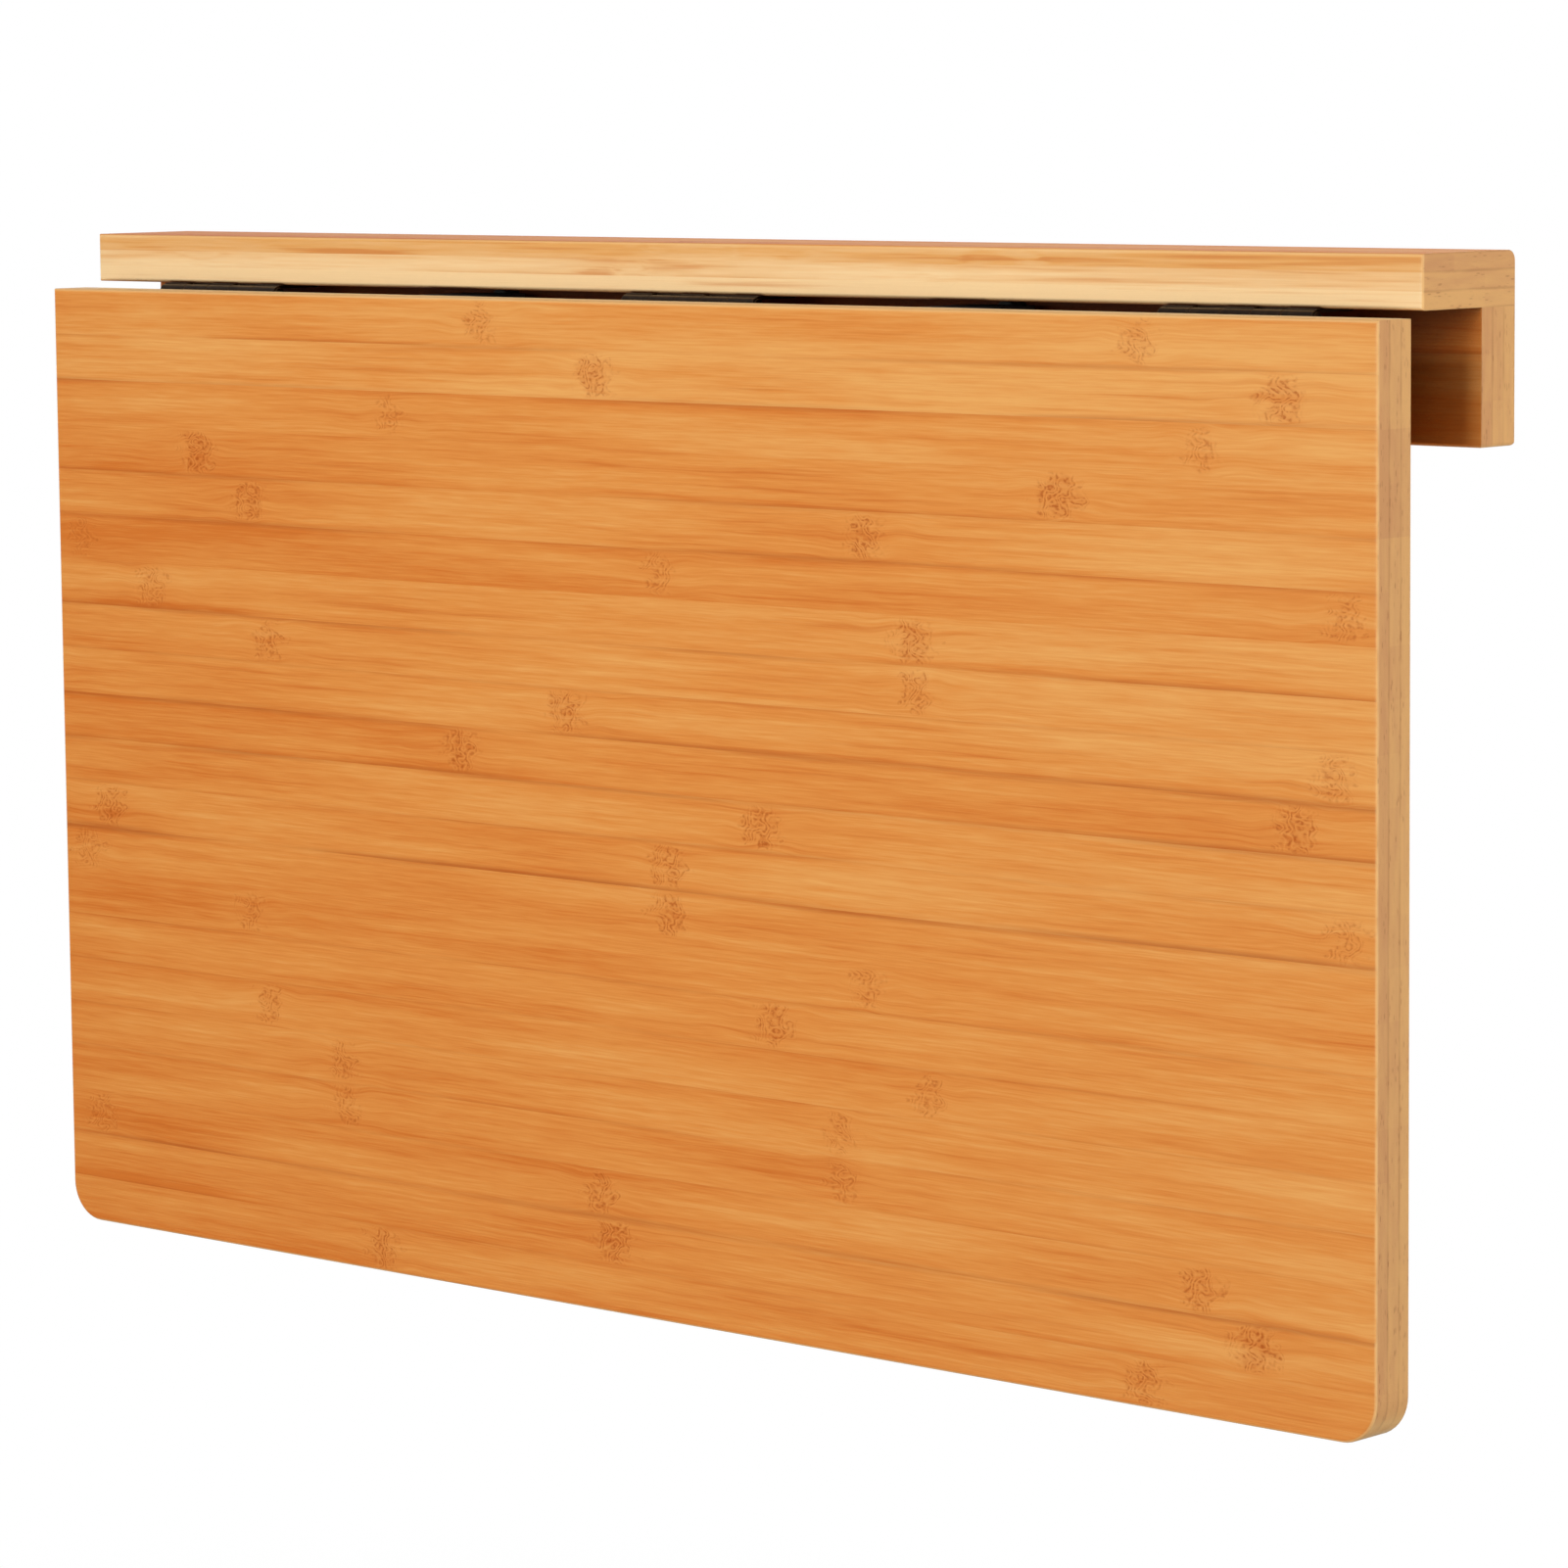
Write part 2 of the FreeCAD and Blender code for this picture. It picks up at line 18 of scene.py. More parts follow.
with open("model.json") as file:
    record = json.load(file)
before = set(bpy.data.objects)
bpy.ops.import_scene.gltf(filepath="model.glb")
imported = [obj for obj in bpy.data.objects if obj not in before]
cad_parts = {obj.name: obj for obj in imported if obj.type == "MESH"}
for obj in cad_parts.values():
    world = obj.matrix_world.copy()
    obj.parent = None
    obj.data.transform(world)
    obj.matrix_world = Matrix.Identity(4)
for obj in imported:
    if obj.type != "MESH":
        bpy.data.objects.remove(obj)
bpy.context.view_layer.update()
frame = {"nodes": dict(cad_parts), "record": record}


class Field:
    """A socket of a material's nodes. Arithmetic on it adds Math nodes to the same material."""

    def __init__(self, tree, socket=None):
        self.tree, self.socket = tree, socket

    def node(self, kind, settings=None, sockets=None, output=0):
        """Add a node: its settings first, then the values or links of its sockets."""
        made = self.tree.nodes.new(kind)
        for name, setting in (settings or {}).items():
            if name == "stops":
                set_stops(made.color_ramp, setting)
            else:
                setattr(made, name, setting)
        for name, value in (sockets or {}).items():
            socket = pick(made.inputs, name)
            if isinstance(value, Field):
                self.tree.links.new(value.socket, socket)
            else:
                socket.default_value = value
        return Field(self.tree, pick(made.outputs, output)) if made.outputs else None

    def other(self, output):
        """Another output of the node that this socket belongs to."""
        return Field(self.tree, pick(self.socket.node.outputs, output))

    def math(self, operation, *values):
        return self.node("ShaderNodeMath", {"operation": operation}, dict(enumerate(values)))

    def step(self, low, high):
        """A smooth step from 0 at low to 1 at high."""
        return self.node("ShaderNodeMapRange", {"interpolation_type": "SMOOTHSTEP"},
                         {"Value": self, "From Min": low, "From Max": high})

    def limit(self, low, high):
        return self.math("MINIMUM", self.math("MAXIMUM", self, low), high)

    def most(self, other):
        return self.math("MAXIMUM", self, other)

    def floor(self):
        return self.math("FLOOR", self)

    def fraction(self):
        return self.math("FRACT", self)

    def size(self):
        return self.math("ABSOLUTE", self)

    def swing(self, amount):
        """A field of 0 to 1 made a swing to both sides of nothing."""
        return (self - 0.5) * amount

    def at_least(self, low):
        """A field of 0 to 1 made one of low to 1."""
        return low + (1 - low) * self

    def join(self, x, y, z):
        return self.node("ShaderNodeCombineXYZ", None, {0: x, 1: y, 2: z})

    def noise(self, vector, detail=2.0, roughness=0.5):
        return self.node("ShaderNodeTexNoise", None, {
            "Vector": vector, "Scale": 1.0, "Detail": detail, "Roughness": roughness})

    def scatter(self, x, y, z):
        """A random number for each whole-number place."""
        return self.node("ShaderNodeTexWhiteNoise", None, {"Vector": self.join(x, y, z)})

    def mix(self, first, second):
        """Blend two colours with this field as the share of the second."""
        return self.node("ShaderNodeMix", {"data_type": "RGBA"}, {
            "Factor_Float": self, "A_Color": first, "B_Color": second}, "Result_Color")

    def __add__(self, other):
        return self.math("ADD", self, other)

    __radd__ = __add__

    def __sub__(self, other):
        return self.math("SUBTRACT", self, other)

    def __rsub__(self, other):
        return self.math("SUBTRACT", other, self)

    def __mul__(self, other):
        return self.math("MULTIPLY", self, other)

    __rmul__ = __mul__

    def __truediv__(self, other):
        return self.math("DIVIDE", self, other)


def pick(sockets, key):
    """Find a socket by its number, its identifier or its name."""
    if isinstance(key, int):
        return sockets[key]
    return next((socket for socket in sockets if socket.identifier == key), None) or sockets[key]


def set_stops(ramp, setting):
    blend, stops = setting
    ramp.interpolation = blend
    ramp.elements.remove(ramp.elements[-1])
    for number, (position, colour) in enumerate(stops):
        element = ramp.elements[0] if number == 0 else ramp.elements.new(position)
        element.position = position
        element.color = colour


def shade(red, green, blue):
    """A colour written as 0 to 255 on a screen, in the renderer's linear light."""
    def linear(part):
        part /= 255
        return part / 12.92 if part <= 0.04045 else ((part + 0.055) / 1.055) ** 2.4
    return (linear(red), linear(green), linear(blue), 1.0)


BUMP_REACH = 0.0004


def start_finish(name):
    """A new material and a field to build its nodes from."""
    material = bpy.data.materials.new(name)
    material.use_nodes = True
    material.node_tree.nodes.clear()
    return material, Field(material.node_tree)


def end_finish(field, height, strength, sockets, base_normal=None):
    """Close a material with a bump and its shader."""
    bump = {"Height": height, "Strength": strength, "Distance": BUMP_REACH}
    if base_normal:
        bump["Normal"] = base_normal
    sockets["Normal"] = field.node("ShaderNodeBump", None, bump)
    surface = field.node("ShaderNodeBsdfPrincipled", None, sockets)
    field.node("ShaderNodeOutputMaterial", None, {"Surface": surface})


def piece_places(field):
    """The point on a piece, and its X, Y and Z."""
    point = field.node("ShaderNodeTexCoord", None, None, "Object")
    axes = [field.node("ShaderNodeSeparateXYZ", None, {"Vector": point}, axis) for axis in "XYZ"]
    return point, axes


def piece_noise(field, axes, waves, detail):
    """Noise on a piece, with so many waves per metre along X, Y and Z."""
    places = [axis * count for axis, count in zip(axes, waves)]
    return field.noise(field.join(*places), detail)


# Bamboo: strips of about 19 mm glued side by side, in three layers.
LAYERS = 3
CELL_RIM = 0.01
PALE, HONEY, DEEP = shade(233, 168, 93), shade(224, 144, 67), shade(211, 117, 42)
STREAK, GLUE_LINE = shade(190, 90, 20), shade(154, 62, 8)
NODE_VEIN, NODE_PITH = shade(172, 76, 12), shade(240, 176, 92)
EDGE_CREAM, EDGE_HONEY = shade(246, 217, 166), shade(228, 170, 98)
END_TAN, END_ROSE, END_DOT = shade(226, 173, 110), shade(210, 153, 101), shade(140, 82, 42)
# Colour of rounded edges: partly wear on the lacquer, partly a painted highlight where the fillets
# catch the light.
WORN_AND_HIGHLIT_EDGE = shade(248, 206, 140)
# Painted shade: faces hemmed in by other parts, such as the pocket behind the leaf and the gap
# under the ledge, are darkened towards this brown.
PAINTED_SHADE_BROWN = shade(58, 14, 0)
PAINTED_SHADE_REACH, PAINTED_SHADE_DEPTH, PAINTED_SHADE_RAYS = 0.070, 0.96, 12

# How fine each pattern is, in waves per metre along the grain and across it.
CURL, SWAY, SPECK, PORES = (165, 220), (30, 80), (560, 700), (30, 1500)
FIBRE, RIBBON, DRIFT = (42, 1050), (8.0, 360), (5.5, 75)
CROWD_ACROSS, CROWD_THROUGH = 55, 330
FLECK_ACROSS, FLECK_THROUGH, FLECK_ALONG = 210, 900, 40
VEINS_ALONG, VEINS_ACROSS, VEIN_CURLS = 250, 150, 6

# Node marks, in metres: half their width, their solid core, and how ragged and bowed they are.
MARK_HALF_WIDTH, MARK_EXTRA_WIDTH = 0.0095, 0.0050
MARK_CORE, MARK_EXTRA_CORE = 0.001, 0.004
MARK_RAGGED, MARK_BOW = 0.022, 0.022
MARK_REACH = 0.050
MARK_WEIGHTS = (1.0, 1.0, 0.7)
FIBRE_SWAY, FIBRE_SWAY_AT_MARKS = 0.0010, 0.0075

# The leaf's strips from the top: three node marks along each, in mm from its left end,
# and its tone. The marks of each deeper layer lie further along by a share of the length.
LEAF_STRIPS = (
    (256, 592, 592, 0.25), (319, 657, 657, 0.10), (204, 621, 621, 0.40), (89, 555, 555, 0.55),
    (120, 460, 460, 0.45), (353, 686, 15, 0.80), (484, 484, 59, 0.35), (130, 485, 485, 0.40),
    (302, 302, 681, 0.40), (242, 664, 664, 0.75), (406, 406, 406, 0.45), (30, 357, 687, 0.50),
    (357, 357, 15, 0.60), (117, 460, 460, 0.70), (412, 412, 412, 0.60), (126, 491, 491, 0.55),
    (171, 446, 446, 0.55), (173, 446, 446, 0.65), (317, 621, 20, 0.65), (325, 646, 646, 0.60),
    (192, 594, 594, 0.70),
)
LEAF_LAYER_STAGGER = 0.37
LEAF_DARK_JOINT = 12
MM_PER_M = 1000

# What is added to a board's seed for each of its random draws.
FIRST_DRAW, SECOND_DRAW, MARK_DRAWS, JOINT_DRAW, BLOCK_DRAW = 0, 11, 20, 40, 60

Grain = namedtuple("Grain", "fibre ribbon drift streak")


class Board:
    """A board's pattern space: places along the grain, across the strips and through the layers.

    Across and through are each an axis and the way to count along it, 1 or -1.
    """

    def __init__(self, field, node, across, through, strips, seed):
        low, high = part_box(node)
        extent = high - low
        point, axes = piece_places(field)
        facing = field.node("ShaderNodeSeparateXYZ", None, {"Vector": point.other("Normal")})

        def from_edge(axis, way):
            return axes[axis] - low[axis] if way > 0 else high[axis] - axes[axis]

        def cells(place, count, axis):
            return (place * (count / extent[axis])).limit(CELL_RIM, count - CELL_RIM)

        self.field, self.seed, self.length = field, seed, extent[0]
        self.normal = [facing.other(axis).size() for axis in "XYZ"]
        self.end = self.normal[0].step(0.60, 0.85)
        self.long_edge = self.normal[across[0]].step(0.60, 0.90)
        self.along = axes[0] - low[0]
        self.breadth, self.depth = from_edge(*across), from_edge(*through)
        self.strip_place = cells(self.breadth, strips, across[0])
        self.layer_place = cells(self.depth, LAYERS, through[0])
        self.strip, self.layer = self.strip_place.floor(), self.layer_place.floor()
        self.strip_part = self.strip_place.fraction()
        self.draw, self.second_draw = self.chance(FIRST_DRAW), self.chance(SECOND_DRAW)

    def chance(self, number):
        """A random number for each strip of each layer."""
        return self.field.scatter(self.strip, self.layer, self.seed + number)

    def grain(self, waves, shift, detail, roughness=0.5, breadth=None, jump=0.0):
        """Noise drawn out along the grain, moved sideways by each strip's own draw."""
        lengthwise, crosswise = waves
        place = self.field.join(
            self.along * lengthwise,
            (breadth or self.breadth) * crosswise + self.draw * shift,
            self.depth * crosswise + self.layer * jump)
        return self.field.noise(place, detail, roughness)


def listed_strips(board):
    """The node marks and the tone of the leaf's strips, from their list."""
    field, count, length = board.field, len(LEAF_STRIPS), board.length * MM_PER_M
    stops = [(number / count, (*(mark / length for mark in marks), tone))
             for number, (*marks, tone) in enumerate(LEAF_STRIPS)]
    ramp = field.node("ShaderNodeValToRGB", {"stops": ("CONSTANT", stops)},
                      {"Fac": (board.strip + 0.5) / count})
    marks = field.node("ShaderNodeSeparateColor", None, {"Color": ramp})
    return [marks, marks.other("Green"), marks.other("Blue")], ramp.other("Alpha")


def scattered_strips(board):
    """Node marks and tones drawn at random for a narrow board."""
    *marks, tone = [board.chance(MARK_DRAWS + number) for number in range(4)]
    return marks, tone


def node_marks(board, marks, stagger):
    """The curl of the veins, the nearness of a node mark, and its ragged patch on a strip."""
    curl = board.grain(CURL, 30, 0.6)
    core = MARK_CORE + MARK_EXTRA_CORE * board.draw
    half_width = MARK_HALF_WIDTH + MARK_EXTRA_WIDTH * board.second_draw
    off_middle = board.strip_part - 0.5
    bow = off_middle * off_middle * MARK_BOW
    reach = patch = None
    for mark, weight in zip(marks, MARK_WEIGHTS):
        place = board.along / board.length - (mark + board.layer * stagger)
        gap = ((place + 0.5).fraction() - 0.5).size() * board.length
        near = 1 - gap.step(0.0, MARK_REACH)
        inside = (1 - (gap + bow + curl.swing(MARK_RAGGED)).step(core, half_width)) * weight
        reach = reach.most(near) if reach else near
        patch = patch.most(inside) if patch else inside
    middle = board.strip_part.step(0.0, 0.16) * (1 - board.strip_part.step(0.84, 1.0))
    patch = patch * middle * board.second_draw.at_least(0.55) * (1 - board.end)
    return curl, reach, patch


def bamboo_grain(board, reach):
    """Fine fibres, ribbons and slow drifts of tone, and the dark streaks where they meet."""
    sway = board.grain(SWAY, 40, 1.0) - 0.5
    bent = board.breadth + sway * (FIBRE_SWAY + FIBRE_SWAY_AT_MARKS * reach)
    fibre = board.grain(FIBRE, 90, 2.0, 0.6, bent)
    ribbon = board.grain(RIBBON, 70, 2.0, 0.6, bent)
    drift = board.grain(DRIFT, 50, 1.0, 0.5, bent, 7)
    meeting = ribbon.step(0.54, 0.72) * drift.step(0.38, 0.66)
    return Grain(fibre, ribbon, drift, meeting * board.second_draw.at_least(0.35))


def face_colour(board, grain, tone, deeper):
    """The broad face: each strip's own tone, its grain, and one side nearer the culm's skin."""
    skin = (board.strip_part * 2 - 1) * (board.second_draw * 2 - 1)
    depth_of_tone = (0.5 + deeper + tone.swing(0.60) + grain.drift.swing(0.95)
                     + grain.ribbon.swing(0.70) + grain.fibre.swing(0.78)
                     + skin.step(0.35, 0.95) * 0.22 - (board.along / board.length).swing(0.30))
    colour = board.field.node("ShaderNodeValToRGB", {"stops": ("LINEAR", [
        (0.0, PALE), (0.5, HONEY), (1.0, DEEP)])}, {"Fac": depth_of_tone})
    return (grain.streak * 0.36).mix(colour, STREAK)


def glue_lines(board, drift, dark_joint):
    """Seams between the strips, dark in places, and the fine groove along them."""
    joint = (board.strip_place + 0.5).floor()
    gap = (board.strip_place - joint).size()
    strength = board.field.scatter(joint, board.layer, board.seed + JOINT_DRAW).step(0.25, 1.15)
    if dark_joint:
        strength = strength.most(1 - (joint - dark_joint).size().step(0.2, 0.8))
    seam = (1 - gap.step(0.0, 0.05 + 0.09 * strength)) * drift.step(0.40, 0.62).at_least(0.10)
    groove = (1 - gap.step(0.008, 0.040)) * strength * (1 - board.end)
    return seam * strength, groove


def node_veins(board, curl, patch):
    """Broken, curled veins inside the node marks, and the pale pith between them."""
    slant = board.breadth * VEINS_ACROSS * (board.draw * 2 - 1)
    swirl = board.along * VEINS_ALONG + slant + curl * VEIN_CURLS
    line = (swirl.fraction() - 0.5).size()
    speck = board.grain(SPECK, 60, 1.0).step(0.42, 0.62)
    vein = (1 - line.step(0.05, 0.38)) * patch * speck.at_least(0.15)
    return vein, line.step(0.32, 0.48) * patch


def long_edge_colour(board, grain):
    """The sides of the layers, paler from one layer to the next."""
    tone = (0.90 - 0.22 * board.layer - 0.22 * board.layer_place
            + grain.ribbon.swing(1.3) + grain.drift.swing(0.8) + grain.fibre.swing(0.4))
    side = tone.limit(0.0, 1.0).mix(EDGE_CREAM, EDGE_HONEY)
    return (grain.streak * 0.45).mix(side, STREAK)


def sawn_end_colour(board):
    """Sawn ends: bands of the layers, darker blocks, and short flecks along the layers."""
    field = board.field
    crowd = field.noise(
        field.join(board.breadth * CROWD_ACROSS, board.depth * CROWD_THROUGH, board.seed), 2.0)
    pair = (board.strip * 0.5).floor()
    block = field.scatter(pair, 0.0, board.seed + BLOCK_DRAW).step(0.62, 0.72)
    tone = 0.75 - 0.30 * board.layer + 0.35 * block + crowd.swing(1.3) + board.draw.swing(0.25)
    sawn = tone.limit(0.0, 1.0).mix(END_TAN, END_ROSE)
    flecks = field.node("ShaderNodeTexVoronoi", None, {"Scale": 1.0, "Vector": field.join(
        board.breadth * FLECK_ACROSS, board.depth * FLECK_THROUGH, board.along * FLECK_ALONG)})
    fleck = (1 - flecks.step(0.14, 0.34)) * crowd.step(0.46, 0.64).at_least(0.15)
    layer_gap = (board.layer_place - (board.layer_place + 0.5).floor()).size()
    layer_line = (1 - layer_gap.step(0.02, 0.12)) * crowd.step(0.35, 0.60).at_least(0.35)
    return (fleck * 0.40 + layer_line * 0.26).limit(0.0, 1.0).mix(sawn, END_DOT)


def bamboo(name, node, across, through, strips, seed, deeper=0.0, listed=False):
    """Laminated bamboo with its grain along X, built up from the board's own corner."""
    material, field = start_finish(name)
    board = Board(field, node, across, through, strips, seed)
    marks, tone = listed_strips(board) if listed else scattered_strips(board)
    curl, reach, patch = node_marks(board, marks, LEAF_LAYER_STAGGER if listed else 0.0)
    grain = bamboo_grain(board, reach)
    seam, groove = glue_lines(board, grain.drift, LEAF_DARK_JOINT if listed else None)
    vein, pith = node_veins(board, curl, patch)
    # Rounded edges are paled: partly wear on the lacquer, partly a painted highlight where the
    # fillets catch the light.
    flattest = board.normal[0].most(board.normal[1]).most(board.normal[2])
    rubbed = (1 - flattest.step(0.80, 0.985)) * grain.drift.step(0.3, 0.6).at_least(0.35)
    # Painted shade: ambient occlusion tells how enclosed each point is, and enclosed places are
    # darkened towards a dark brown below.
    painted_shade_openness = field.node("ShaderNodeAmbientOcclusion", {"samples": PAINTED_SHADE_RAYS},
                            {"Distance": PAINTED_SHADE_REACH}, "AO")

    colour = face_colour(board, grain, tone, deeper)
    for share, tint in (
        (seam * 0.52, GLUE_LINE),
        (pith * 0.30, NODE_PITH),
        (patch * patch * 0.26, STREAK),
        (vein * 0.78, NODE_VEIN),
        (board.long_edge * 0.90, long_edge_colour(board, grain)),
        (board.end, sawn_end_colour(board)),
        (rubbed * 0.50, WORN_AND_HIGHLIT_EDGE),
        # painted shade in enclosed places
        ((1 - painted_shade_openness).step(0.40, 0.82) * PAINTED_SHADE_DEPTH, PAINTED_SHADE_BROWN),
    ):
        colour = share.mix(colour, tint)

    end_finish(field, board.grain(PORES, 0, 1.0) - groove * 0.35, 0.20, {
        "Base Color": colour,
        "Roughness": (0.46 + grain.ribbon.swing(0.14) + 0.12 * vein
                      + 0.18 * board.end - 0.05 * rubbed),
        "Specular IOR Level": 0.15,
        "Coat Weight": 0.06 * (1 - board.end),
        "Coat Roughness": 0.22,
    })
    return material


# Metal, rubber and dowels
ZINC, ZINC_DULL, ZINC_RUBBED = shade(196, 198, 202), shade(164, 168, 174), shade(222, 222, 220)
BRONZE, BRONZE_DULL, BRONZE_RUBBED = shade(66, 52, 41), shade(42, 33, 27), shade(122, 97, 72)
COAT_BLACK, COAT_GREY, BARE_STEEL = shade(34, 34, 36), shade(48, 48, 50), shade(128, 128, 130)
RUBBER_BLACK, RUBBER_DUST = shade(30, 29, 28), shade(84, 80, 76)
BEECH_PALE, BEECH_TAN, BEECH_FLECK = shade(224, 188, 140), shade(196, 150, 100), shade(150, 102, 62)
WEAR_RADIUS = 0.0005
SPANGLE = 420.0


def edge_wear(field):
    """A softened normal and a mask of the edges that it softens."""
    soft = field.node("ShaderNodeBevel", None, {"Radius": WEAR_RADIUS})
    true_normal = field.node("ShaderNodeNewGeometry", None, None, "Normal")
    alike = field.node("ShaderNodeVectorMath", {"operation": "DOT_PRODUCT"},
                       {0: soft, 1: true_normal}, "Value")
    return soft, 1 - alike.step(0.72, 0.995)


def plated_steel(name, bright, dull, rubbed):
    """Plated steel, drawn along X, with a faint spangle and rubbed edges."""
    material, field = start_finish(name)
    point, axes = piece_places(field)
    drawn = piece_noise(field, axes, (60, 2600, 2600), 2.0)
    blotch = piece_noise(field, axes, (90, 90, 90), 3.0)
    spangle = field.node("ShaderNodeTexVoronoi", None, {"Vector": point, "Scale": SPANGLE}, "Color")
    tint = field.node("ShaderNodeSeparateColor", None, {"Color": spangle})
    soft, worn = edge_wear(field)
    colour = (tint * 0.5 + blotch * 0.5).mix(bright, dull)
    colour = (worn * 0.5).mix(colour, rubbed)
    end_finish(field, drawn * 0.5 + blotch * 0.5, 0.10, {
        "Base Color": colour,
        "Metallic": 1.0,
        "Roughness": 0.32 + drawn.swing(0.16) + blotch.swing(0.12) - 0.06 * worn,
    }, soft)
    return material


def powder_coat():
    """Black powder coat with an orange-peel skin, rubbed to grey on its edges."""
    material, field = start_finish("black_powder_coat")
    _, axes = piece_places(field)
    peel = piece_noise(field, axes, (1500, 1500, 1500), 1.0)
    cloud = piece_noise(field, axes, (120, 120, 120), 3.0)
    soft, worn = edge_wear(field)
    chipped = worn * cloud.step(0.42, 0.62)
    colour = (chipped * 0.75).mix(cloud.mix(COAT_BLACK, COAT_GREY), BARE_STEEL)
    end_finish(field, peel, 0.16, {
        "Base Color": colour,
        "Metallic": 0.7 * chipped,
        "Roughness": 0.46 + cloud.swing(0.12) + peel.swing(0.10) - 0.08 * chipped,
    }, soft)
    return material


def moulded_rubber():
    """Matt black rubber with a fine moulded grain and a little dust."""
    material, field = start_finish("moulded_rubber")
    _, axes = piece_places(field)
    moulded = piece_noise(field, axes, (2400, 2400, 2400), 2.0)
    dust = piece_noise(field, axes, (260, 260, 260), 3.0).step(0.45, 0.80)
    soft, worn = edge_wear(field)
    end_finish(field, moulded, 0.18, {
        "Base Color": (dust * 0.35 + worn * 0.15).mix(RUBBER_BLACK, RUBBER_DUST),
        "Roughness": 0.74 + 0.14 * dust - 0.08 * worn,
    }, soft)
    return material


def turned_beech():
    """Turned beech with short flecks along Z, for the dowels."""
    material, field = start_finish("turned_beech")
    _, axes = piece_places(field)
    rings = piece_noise(field, axes, (520, 520, 28), 3.0)
    fleck = piece_noise(field, axes, (1300, 1300, 240), 1.0).step(0.60, 0.72)
    colour = (fleck * 0.5).mix(rings.step(0.3, 0.7).mix(BEECH_PALE, BEECH_TAN), BEECH_FLECK)
    end_finish(field, rings * 0.6 - fleck * 0.5, 0.20, {
        "Base Color": colour,
        "Roughness": 0.58 + rings.swing(0.16) + 0.10 * fleck,
    })
    return material


Y, Z = 1, 2
DOWN, BACKWARD = -1, 1


def dress_nodes():
    """Give every CAD node the finish of its material slot, and each board its own bamboo."""
    finishes = {
        "zinc_steel": plated_steel("zinc_plated_steel", ZINC, ZINC_DULL, ZINC_RUBBED),
        "bronzed_steel": plated_steel("bronzed_steel", BRONZE, BRONZE_DULL, BRONZE_RUBBED),
        "black_steel": powder_coat(),
        "rubber": moulded_rubber(),
        "dowel_wood": turned_beech(),
    }
    boards = {
        "leaf_panel": bamboo("bamboo_leaf", "leaf_panel", (Z, DOWN), (Y, BACKWARD),
                             strips=len(LEAF_STRIPS), seed=1.0, listed=True),
        "ledge_board": bamboo("bamboo_ledge", "ledge_board", (Y, BACKWARD), (Z, DOWN),
                              strips=3, seed=5.0),
        # The wall board's bamboo is given a deeper tone overall, a painted shade for where it hangs
        # in shade behind the leaf.
        "wall_board": bamboo("bamboo_wall_board", "wall_board", (Z, DOWN), (Y, BACKWARD),
                             strips=3, seed=13.0, deeper=0.16),
    }
    for entry in frame["record"]["subparts"]:
        node = entry["node"]
        mesh = frame["nodes"][node].data
        mesh.materials.clear()
        mesh.materials.append(boards.get(node) or finishes[entry["material_slot"]])


# The studio
WHITE, BLACK = (1, 1, 1, 1), (0, 0, 0, 1)
CAMERA_PLACE = (1.6215, -1.7798, 0.1069)
CAMERA_YAW, CAMERA_PITCH, CAMERA_ROLL = 42.44, 6.606, -0.539
LENS_MM, SENSOR_MM = 139.22, 36
FLOOR_LEVEL, FLOOR_HALF = -0.705, 12.0
FLOOR_TONE, MIRRORED_FLOOR = (0.46, 0.46, 0.46, 1), (0.3, 0.3, 0.3, 1)
SHADOW_REACH, SHADOW_DEPTH = 0.9, 0.8
ROOM_LIGHT, MIRRORED_LIGHT, MIRRORED_HORIZON = 0.10, 0.5, 1.3
HORIZON_BAND = (0.06, 0.22)

# Each lamp's place, size and power, and whether polished faces mirror it.
LAMPS = {
    "key_lamp": ((0.1, -2.9, 0.45), 1.6, 67.5, True),
    "end_lamp": ((2.6, 0.7, 0.6), 1.4, 44, True),
    "back_lamp": ((-1.4, 2.6, 1.3), 1.8, 36, False),
    "top_lamp": ((0.3, -0.2, 2.6), 1.6, 26, False),
}
LAMP_AIM = (0.0, -0.05, -0.15)


def make_floor():
    """A pale floor: the camera sees it white with a shadow, and sees through it from below."""
    mesh = bmesh.new()
    bmesh.ops.create_grid(mesh, x_segments=4, y_segments=4, size=FLOOR_HALF)
    bmesh.ops.translate(mesh, verts=mesh.verts, vec=(0, 0, FLOOR_LEVEL))
    data = bpy.data.meshes.new("studio_floor")
    mesh.to_mesh(data)
    mesh.free()
    floor = bpy.data.objects.new("studio_floor", data)
    bpy.context.scene.collection.objects.link(floor)
    material, field = start_finish("studio_white")
    seen = field.node("ShaderNodeLightPath", None, None, "Is Camera Ray")
    tone = seen.other("Is Glossy Ray").mix(FLOOR_TONE, MIRRORED_FLOOR)
    matt = field.node("ShaderNodeBsdfDiffuse", None, {"Color": tone})
    hidden = 1 - field.node("ShaderNodeAmbientOcclusion", None, {"Distance": SHADOW_REACH}, "AO")
    shadow = (hidden * SHADOW_DEPTH).mix(WHITE, BLACK)
    glow = field.node("ShaderNodeEmission", None, {"Color": shadow, "Strength": 1.0})
    top = field.node("ShaderNodeMixShader", None, {"Fac": seen, 1: matt, 2: glow})
    from_below = field.node("ShaderNodeNewGeometry", None, None, "Backfacing")
    clear = field.node("ShaderNodeBsdfTransparent")
    surface = field.node("ShaderNodeMixShader", None, {"Fac": from_below, 1: top, 2: clear})
    field.node("ShaderNodeOutputMaterial", None, {"Surface": surface})
    data.materials.append(material)


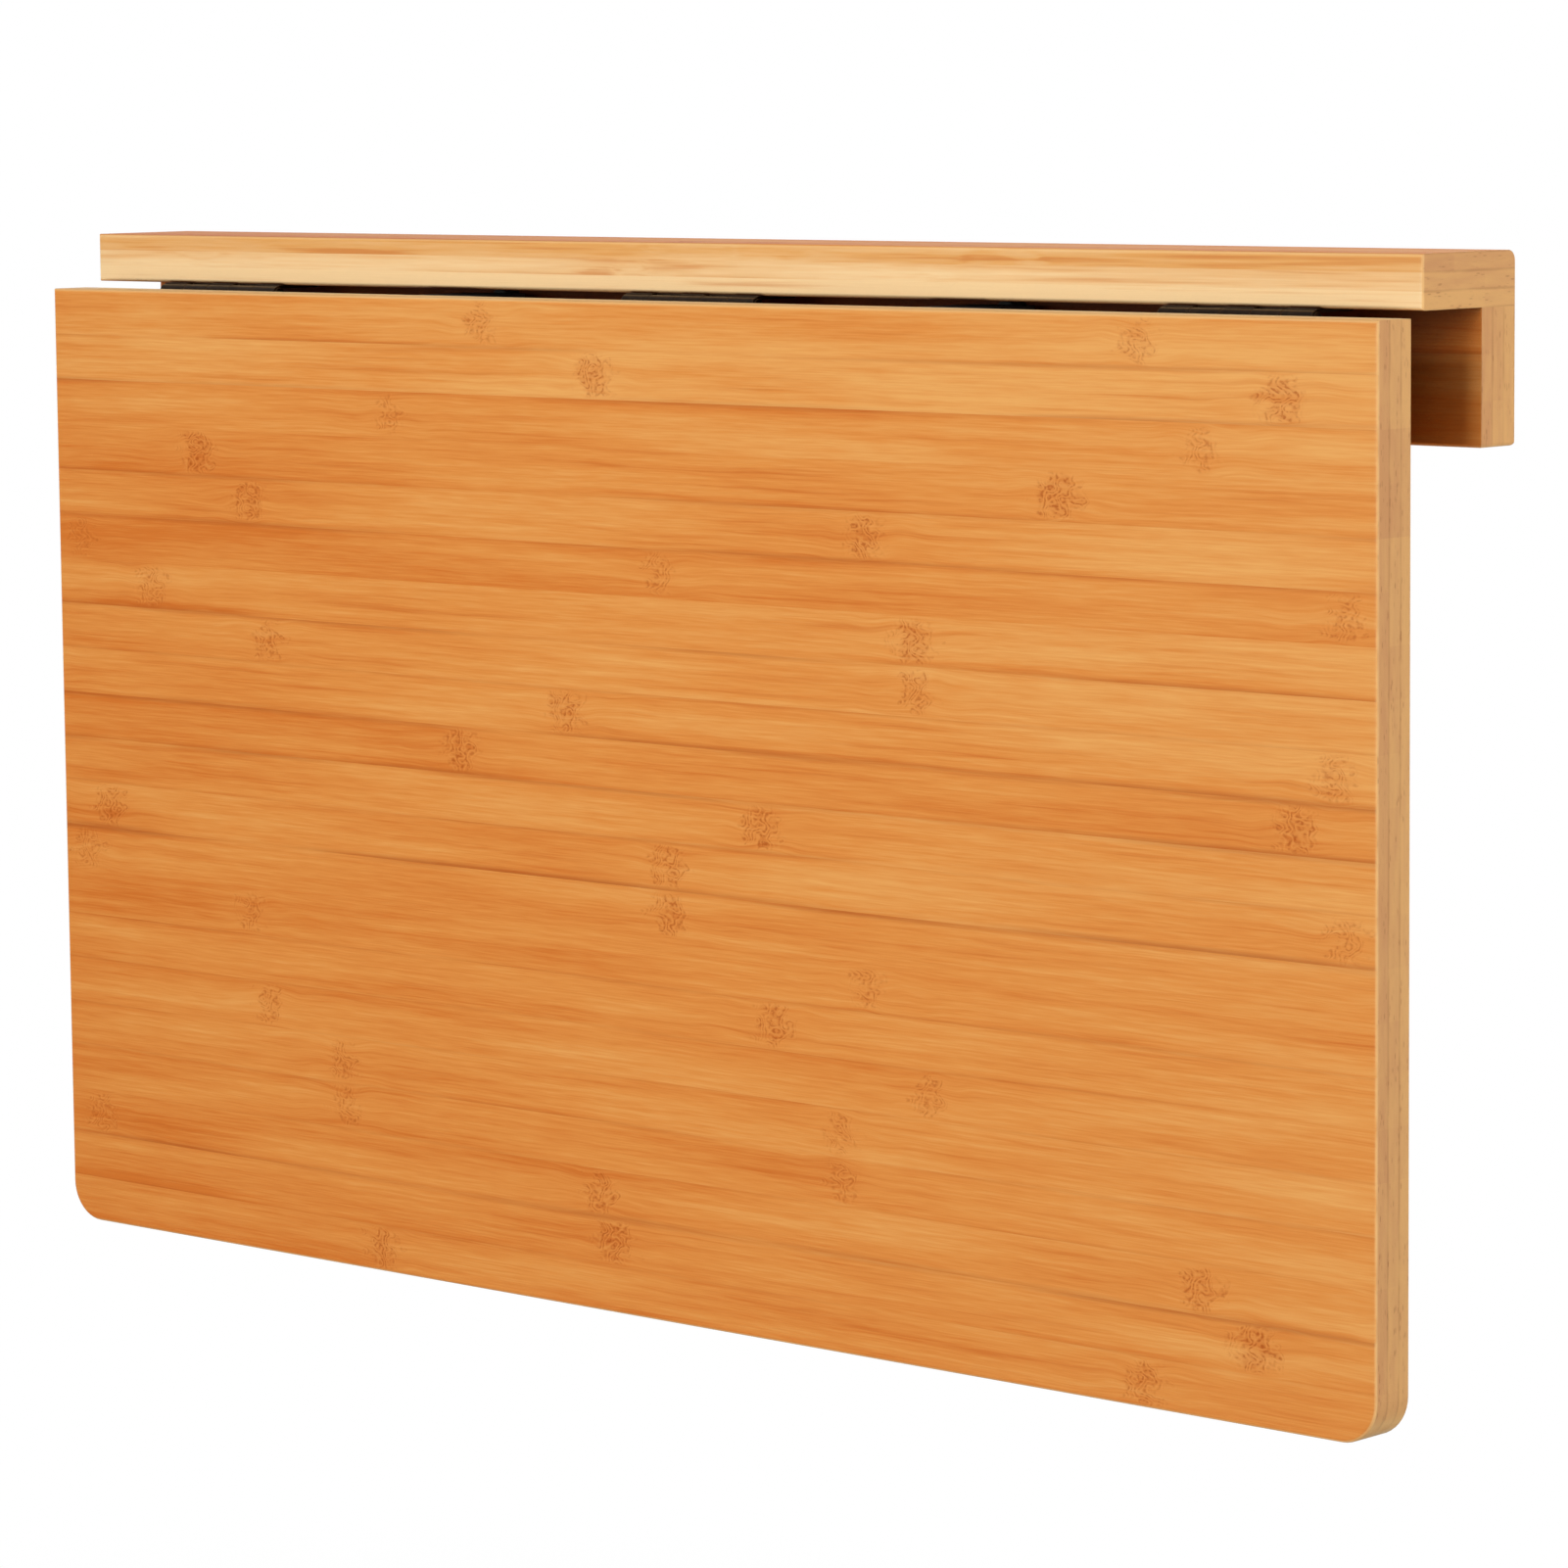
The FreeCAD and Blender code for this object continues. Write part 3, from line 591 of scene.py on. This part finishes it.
def make_room_light():
    """A dim room that the camera sees white, and that glancing faces mirror as a pale horizon."""
    world = bpy.data.worlds.new("studio_room")
    world.use_nodes = True
    world.node_tree.nodes.clear()
    field = Field(world.node_tree)
    seen = field.node("ShaderNodeLightPath", None, None, "Is Camera Ray")
    mirrored = seen.other("Is Glossy Ray")
    toward = field.node("ShaderNodeTexCoord", None, None, "Generated")
    rise = field.node("ShaderNodeSeparateXYZ", None, {"Vector": toward}, "Z").size()
    reflected = MIRRORED_HORIZON + (MIRRORED_LIGHT - MIRRORED_HORIZON) * rise.step(*HORIZON_BAND)
    strength = ROOM_LIGHT + (1 - ROOM_LIGHT) * seen + (reflected - ROOM_LIGHT) * mirrored
    glow = field.node("ShaderNodeBackground", None, {"Color": WHITE, "Strength": strength})
    field.node("ShaderNodeOutputWorld", None, {"Surface": glow})
    bpy.context.scene.world = world


def make_lamps():
    for name, (place, size, power, mirrored) in LAMPS.items():
        lamp = bpy.data.lights.new(name, "AREA")
        lamp.shape, lamp.size, lamp.energy = "SQUARE", size, power
        holder = bpy.data.objects.new(name, lamp)
        bpy.context.scene.collection.objects.link(holder)
        holder.location = place
        holder.visible_glossy = mirrored
        holder.rotation_euler = aim_along([end - start for start, end in zip(place, LAMP_AIM)])


def aim_along(direction):
    """The turn that points a lamp's -Z along a direction."""
    x, y, z = direction
    return Euler((math.atan2(math.hypot(x, y), -z), 0, math.atan2(-x, y)))


def make_camera():
    lens = bpy.data.cameras.new("photo_camera")
    lens.lens, lens.sensor_width = LENS_MM, SENSOR_MM
    camera = bpy.data.objects.new("photo_camera", lens)
    bpy.context.scene.collection.objects.link(camera)
    camera.location = CAMERA_PLACE
    level = Euler((math.radians(90 - CAMERA_PITCH), 0, math.radians(CAMERA_YAW))).to_quaternion()
    camera.rotation_mode = "QUATERNION"
    camera.rotation_quaternion = level @ Quaternion((0, 0, 1), math.radians(CAMERA_ROLL))
    bpy.context.scene.camera = camera


dress_nodes()
make_floor()
make_room_light()
make_lamps()
make_camera()
bpy.context.scene.view_settings.view_transform = "Standard"
